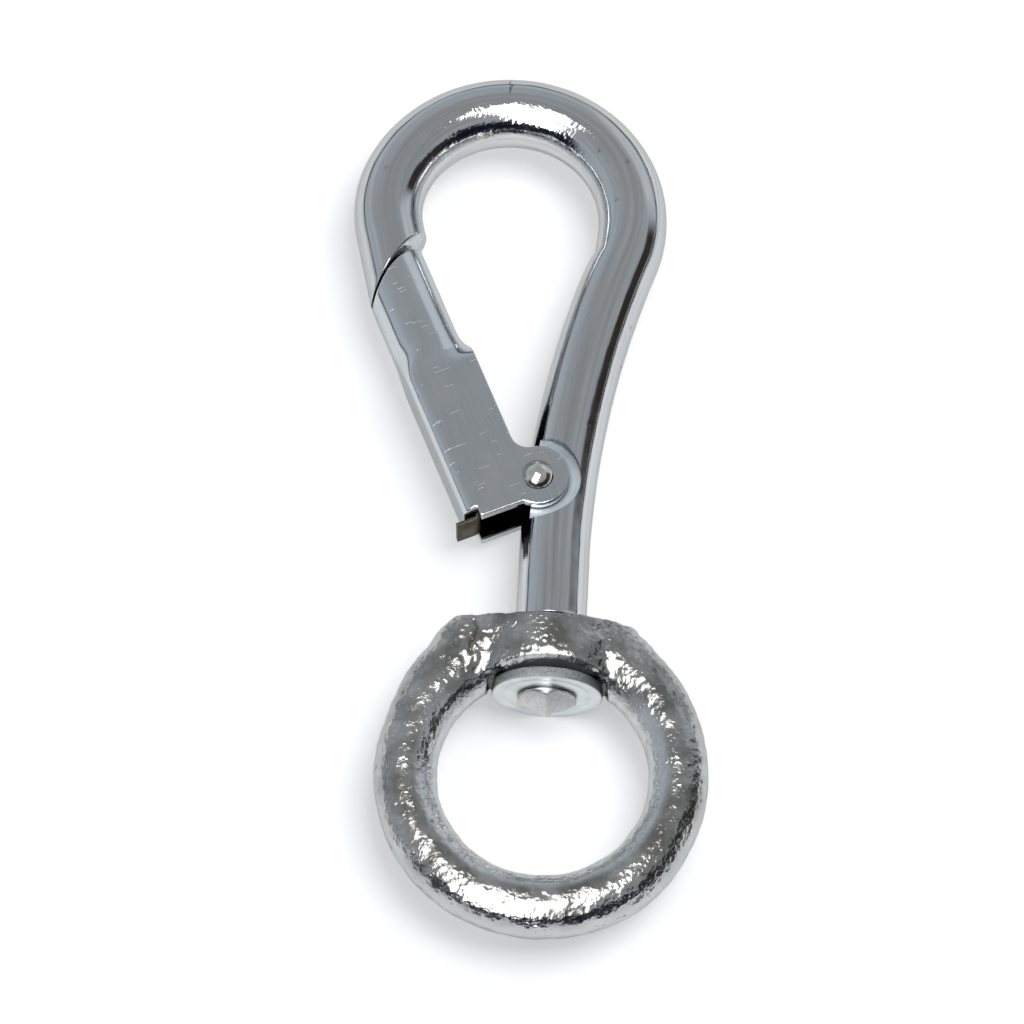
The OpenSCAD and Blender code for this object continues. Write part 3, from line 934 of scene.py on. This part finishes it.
def inside_outline(points):
    """Which points are inside the outline and clear of it."""
    inside = np.zeros(len(points), bool)
    nearest_gap = np.full(len(points), np.inf)
    for (ax, ay), (bx, by) in zip(outline, outline[1:] + outline[:1]):
        if ay != by:
            beside = (ay > points[:, 1]) != (by > points[:, 1])
            inside ^= beside & (points[:, 0] < ax + (points[:, 1] - ay) * (bx - ax) / (by - ay))
        nearest_gap = np.minimum(nearest_gap, line_gap(points, (ax, ay), (bx, by)))
    return inside & (nearest_gap > 0.2)


grid_x, grid_y = np.meshgrid(np.arange(-16.4, 16.5, blank_step), np.arange(-3.4, 34, blank_step))
grid = np.column_stack([grid_x.ravel(), grid_y.ravel()])
grid = grid[inside_outline(grid)]
grid = grid[from_hole(grid) > 1.5]
count = len(outline)
loops = [Vector(p) for p in outline + hole + [tuple(p) for p in grid]]
hole_edges = [(count + k * hole_count + i, count + k * hole_count + (i + 1) % hole_count)
              for k in range(2) for i in range(hole_count)]
flat_points, _, triangles = geometry.delaunay_2d_cdt(
    loops, hole_edges, [list(range(count))], 1, 1e-5)[:3]
blank = np.array([tuple(p) for p in flat_points])
middles = np.array([blank[list(t)].mean(0) for t in triangles])
triangles = [t for t, gap in zip(triangles, from_hole(middles)) if gap >= ear_hole - 0.02]
places, facing = fold_sheet(blank)
uneven = np.array([0.02 * noise.noise(Vector((x * 0.35, y * 0.35, 3.0))) for x, y in blank])
outer = places + facing * np.minimum(uneven, 0)[:, None]
inner = places - facing * sheet
edge_uses = {}
for t in triangles:
    for a, b in zip(t, t[1:] + t[:1]):
        edge_uses.setdefault((min(a, b), max(a, b)), []).append((a, b))
rim = [uses[0] for uses in edge_uses.values() if len(uses) == 1]
shift = len(blank)
faces = [list(t) for t in triangles] + [[i + shift for i in reversed(t)] for t in triangles]
faces += [[b, a, a + shift, b + shift] for a, b in rim]


def satin_sheet():
    """Satin zinc over rolled sheet: a brushed grain along the sheet, scratches that run three
    ways, and the inside painted near black as shade."""
    material, tree, shader = new_metal("satin_sheet")
    on_blank = attribute_on(tree, "blank")["Vector"]
    brushed = plating_on(tree, on_blank, 5.0, 0.22, 6.0, 0.1)
    marks = []
    for turn, size, cut_low, seed in ((4, 1.0, 0.725, 3.0), (-9, 1.3, 0.735, 11.0),
                                      (70, 1.1, 0.76, 23.0)):
        slanted = put(tree, "ShaderNodeMapping", {
            "Vector": on_blank, "Location": (seed, seed * 2, seed),
            "Rotation": (0, math.radians(turn), 0), "Scale": (0.22 * size, 1.0, 9.0 * size)})
        lines = cloudy(tree, slanted.outputs[0], 1.0, 1.0)
        marks.append(ramp(tree, lines, cut_low, cut_low + 0.02))
    scratch = sums(tree, *marks)
    # The inner face of the sheet is painted near black as shade
    inside = ramp(tree, in_parts(tree, on_blank)["Y"], 2.7, 2.95, 0.0, 0.96)
    colour = blend_colours(tree, brushed["Streak"], (0.53, 0.56, 0.585), (0.59, 0.615, 0.635))
    for mask, over in ((ramp(tree, brushed["Cloud"], 0.4, 1, 0, 0.5), (0.62, 0.63, 0.63)),
                       (ramp(tree, scratch, 0, 1, 0, 0.7), (0.88, 0.89, 0.90)),
                       (inside, (0.02, 0.022, 0.025))):
        colour = blend_colours(tree, mask, colour, over)
    dress(tree, shader, colour,
          sums(tree, ramp(tree, brushed["Streak"], 0, 1, 0.08, 0.13),
               ramp(tree, brushed["Grain"], 0, 1, 0, 0.03), times(tree, scratch, 0.2)),
          sums(tree, times(tree, brushed["Streak"], 0.25), times(tree, brushed["Grain"], 0.3),
               times(tree, scratch, -1.6)), 0.004)
    return material


gate = shape_piece("gate_folded", place(in_gate(np.vstack([outer, inner]))), faces)
flat_places = np.column_stack([blank[:, 0], np.zeros(len(blank)), blank[:, 1]])
# The blank's second coordinate is 0 on the outer face and 3 on the inner face, which the material
# paints with shade
give_attribute(gate, "blank", np.vstack([flat_places, flat_places + [0, 3, 0]]))
outwards(gate, 40)
gate.data.materials.append(satin_sheet())
sheared = gate.modifiers.new("Sheared edges", "BEVEL")
sheared.width = 0.13 * MM
sheared.segments = 2
sheared.limit_method = "ANGLE"
sheared.angle_limit = math.radians(50)
sheared.use_clamp_overlap = False
settle(gate)
gate.data.set_sharp_from_angle(angle=math.radians(50))
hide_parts("gate")
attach(gate, "gate")


# ---- Rivet: a bright steel pin through the ears and the bar, its two ends peened to domes.
rivet_radius = 1.3
rivet_head_radius = 1.8
rivet_head_height = 1.1


def bright_steel():
    """Peened bright steel: polished, with a few soft hammer marks."""
    material, tree, shader = new_metal("bright_steel")
    peened = plating_on(tree, object_place(tree), 0.9, 0.2, 0.6, 0.1)
    dress(tree, shader,
          blend_colours(tree, peened["Cloud"], (0.56, 0.545, 0.52), (0.70, 0.695, 0.68)),
          ramp(tree, peened["Grain"], 0, 1, 0.08, 0.2), peened["Cloud"], 0.012)
    return material


dome = (rivet_head_radius ** 2 + rivet_head_height ** 2) / (2 * rivet_head_height)
dome_profile = []
dome_centre = half_width + rivet_head_height - dome
for i in range(15):
    reach = rivet_head_radius * math.sin(math.radians(90 * i / 14))
    dome_profile.append((reach, dome_centre + math.sqrt(dome ** 2 - reach ** 2)))
dome_profile += [(rivet_head_radius, half_width), (rivet_radius, half_width), (rivet_radius, 2.0)]
rivet_profile = dome_profile + [(r, -h) for r, h in reversed(dome_profile)]
points, faces = skin_rings(turned(rivet_profile, 64, about_rivet))
rivet = outwards(shape_piece("gate_rivet_peened", place(points), faces))
rivet.data.materials.append(bright_steel())
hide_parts("gate_rivet")
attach(rivet, "gate")


# ---- Gate spring: a strip of tempered steel, bent to a hairpin inside the channel. One leg
# bears on the bar, and the other's end hooks out under the spine as a tab.
strip_thickness, strip_width = 0.5, 4.4


def tempered_strip():
    """Spring steel left brown from tempering."""
    material, tree, shader = new_metal("tempered_strip")
    browned = plating_on(tree, object_place(tree), 1.6, 0.3, 2.0, 0.1)
    dress(tree, shader,
          blend_colours(tree, browned["Cloud"], (0.055, 0.048, 0.038), (0.13, 0.115, 0.09)),
          ramp(tree, browned["Grain"], 0, 1, 0.3, 0.45), browned["Grain"], 0.02)
    return material


spring_gap = 0.3
spring_back = spine + sheet + spring_gap + strip_thickness / 2
tab_y = channel_bottom - spring_gap - strip_thickness / 2
bend, hairpin, spring_top = 0.8, 1.3, 13.0
foot_x, foot_y = -bar_radius - pivot[0] - spring_gap - strip_thickness, 1.6
leg_lean = math.degrees(math.atan2(foot_x - (spring_back + 2 * hairpin), spring_top - foot_y))
tab_reach = 1.1
spring_line = [(spine - tab_reach, tab_y)]
spring_line += arc_points(spring_back - bend, tab_y + bend, bend, -90, 0, 0.12)
spring_line += arc_points(spring_back + hairpin, spring_top, hairpin, 180, leg_lean, 0.25)
spring_line += arc_points(foot_x - bend, foot_y, bend, leg_lean, leg_lean - 70, 0.12)
strip_tree, given = new_geometry_tree(
    "Bent strip", width=strip_width * MM, thickness=strip_thickness * MM, edge_round=0.12 * MM)
flat_bar = put(strip_tree, "GeometryNodeCurvePrimitiveQuadrilateral",
               {"Width": given["Thickness"], "Height": given["Width"]})
rounded = put(strip_tree, "GeometryNodeFilletCurve", {
    "Curve": flat_bar.outputs[0], "Radius": given["Edge round"], "Count": 2}, mode="POLY")
sweep_tree(strip_tree, given, rounded, True)
spring = line_piece("gate_spring_strip", in_gate([(x, y, 0.0) for x, y in spring_line]))
run_tree(spring, strip_tree, {"Width": strip_width * MM, "Thickness": strip_thickness * MM,
                              "Edge round": 0.12 * MM, "Finish": tempered_strip()})
outwards(spring, 30)
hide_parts("gate_spring")
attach(spring, "gate")


# ---- Studio: a white floor under the hook in a pale room. The metal mirrors a window of two
# panes, which lights nothing else, and a side lamp that it does not mirror throws the shadow.
floor = shape_piece("studio_floor", [(-2, -2, 0), (2, -2, 0), (2, 2, 0), (-2, 2, 0)],
                    [(0, 1, 2, 3)])
paper = bpy.data.materials.new("white_paper")
paper.use_nodes = True
for key, value in (("Base Color", (0.92, 0.92, 0.92, 1)), ("Roughness", 0.9),
                   ("Specular IOR Level", 0.0), ("Emission Color", (1, 1, 1, 1)),
                   ("Emission Strength", 0.34)):
    paper.node_tree.nodes["Principled BSDF"].inputs[key].default_value = value
floor.data.materials.append(paper)

world = bpy.data.worlds.new("pale_room")
world.use_nodes = True
bpy.context.scene.world = world
sky = world.node_tree
direction = put(sky, "ShaderNodeTexCoord")
way_x, way_y, way_z = in_parts(sky, direction.outputs["Generated"])
shade = put(sky, "ShaderNodeValToRGB", {"Fac": way_z})
by_height = shade.color_ramp.elements
by_height[0].position, by_height[0].color = 0.0, (0.04, 0.05, 0.06, 1)
by_height[1].position, by_height[1].color = 1.0, (0.36, 0.365, 0.37, 1)
for height, colour in ((0.07, (0.05, 0.06, 0.07)), (0.10, (0.56, 0.62, 0.67)),
                       (0.32, (0.56, 0.61, 0.65)), (0.62, (0.46, 0.49, 0.515)),
                       (0.88, (0.42, 0.44, 0.455))):
    by_height.new(height).color = (*colour, 1)


def in_band(value, low, high, blur):
    """1 between two limits, fading over a blur at each."""
    return times(sky, ramp(sky, value, low - blur, low + blur),
                 ramp(sky, value, high - blur, high + blur, 1.0, 0.0))


# Beyond the paper a bright wall and a brown cupboard stand on the right, and the side in front
# of the table is in shadow
wall = times(sky, times(sky, in_band(way_x, 0.3, 2, 0.05), in_band(way_z, 0.2, 0.62, 0.04)),
             in_band(way_y, 0.5, 2, 0.06))
cupboard = times(sky, times(sky, in_band(way_x, 0.5, 2, 0.06), in_band(way_z, 0.12, 0.53, 0.02)),
                 in_band(way_y, -2, 0.39, 0.05))
front = times(sky, in_band(way_y, -2, -0.45, 0.1), in_band(way_z, 0.1, 0.58, 0.03))
room = shade.outputs[0]
for mask, colour in ((wall, (0.76, 0.80, 0.83)), (cupboard, (0.045, 0.036, 0.028)),
                     (front, (0.008, 0.012, 0.022))):
    room = blend_colours(sky, mask, room, colour)
sky.links.new(room, sky.nodes["Background"].inputs["Color"])


def soft_light(name, stand, size, power):
    """A rectangular light that faces the hook."""
    light = bpy.data.lights.new(name, "AREA")
    light.shape = "RECTANGLE"
    light.size, light.size_y = size
    light.energy = power
    holder = bpy.data.objects.new(name, light)
    holder.location = stand
    holder.rotation_euler = (-Vector(stand)).to_track_quat("-Z", "Y").to_euler()
    bpy.context.scene.collection.objects.link(holder)
    return holder


for name, across_bar in (("window_upper", 0.265), ("window_lower", -0.265)):
    pane = soft_light(name, (-0.15, -0.35, 0.72), (0.54, 0.47), 3.9)
    pane.location += pane.rotation_euler.to_matrix() @ Vector((0, across_bar, 0))
    pane.visible_diffuse = False
side_lamp = soft_light("side_lamp", (0.21, 0.05, 0.66), (0.40, 0.40), 2.2)
side_lamp.visible_glossy = False

# The camera looks down on the hook, tilted toward its eye end
tilt, turn, distance = math.radians(24.0), math.radians(3.0), 0.5
aim = Vector((-1.652, -2.494, 6.2)) * MM
camera = bpy.data.objects.new("camera", bpy.data.cameras.new("camera"))
camera.data.sensor_width = 36.0
camera.data.lens = 4407.5 / 1024 * 36.0
camera.data.clip_start = 0.01
away = Vector((math.sin(turn) * math.sin(tilt), -math.cos(turn) * math.sin(tilt), math.cos(tilt)))
camera.location = aim + distance * away
camera.rotation_euler = away.to_track_quat("Z", "Y").to_euler()
bpy.context.scene.collection.objects.link(camera)
bpy.context.scene.camera = camera
bpy.context.scene.view_settings.view_transform = "Standard"
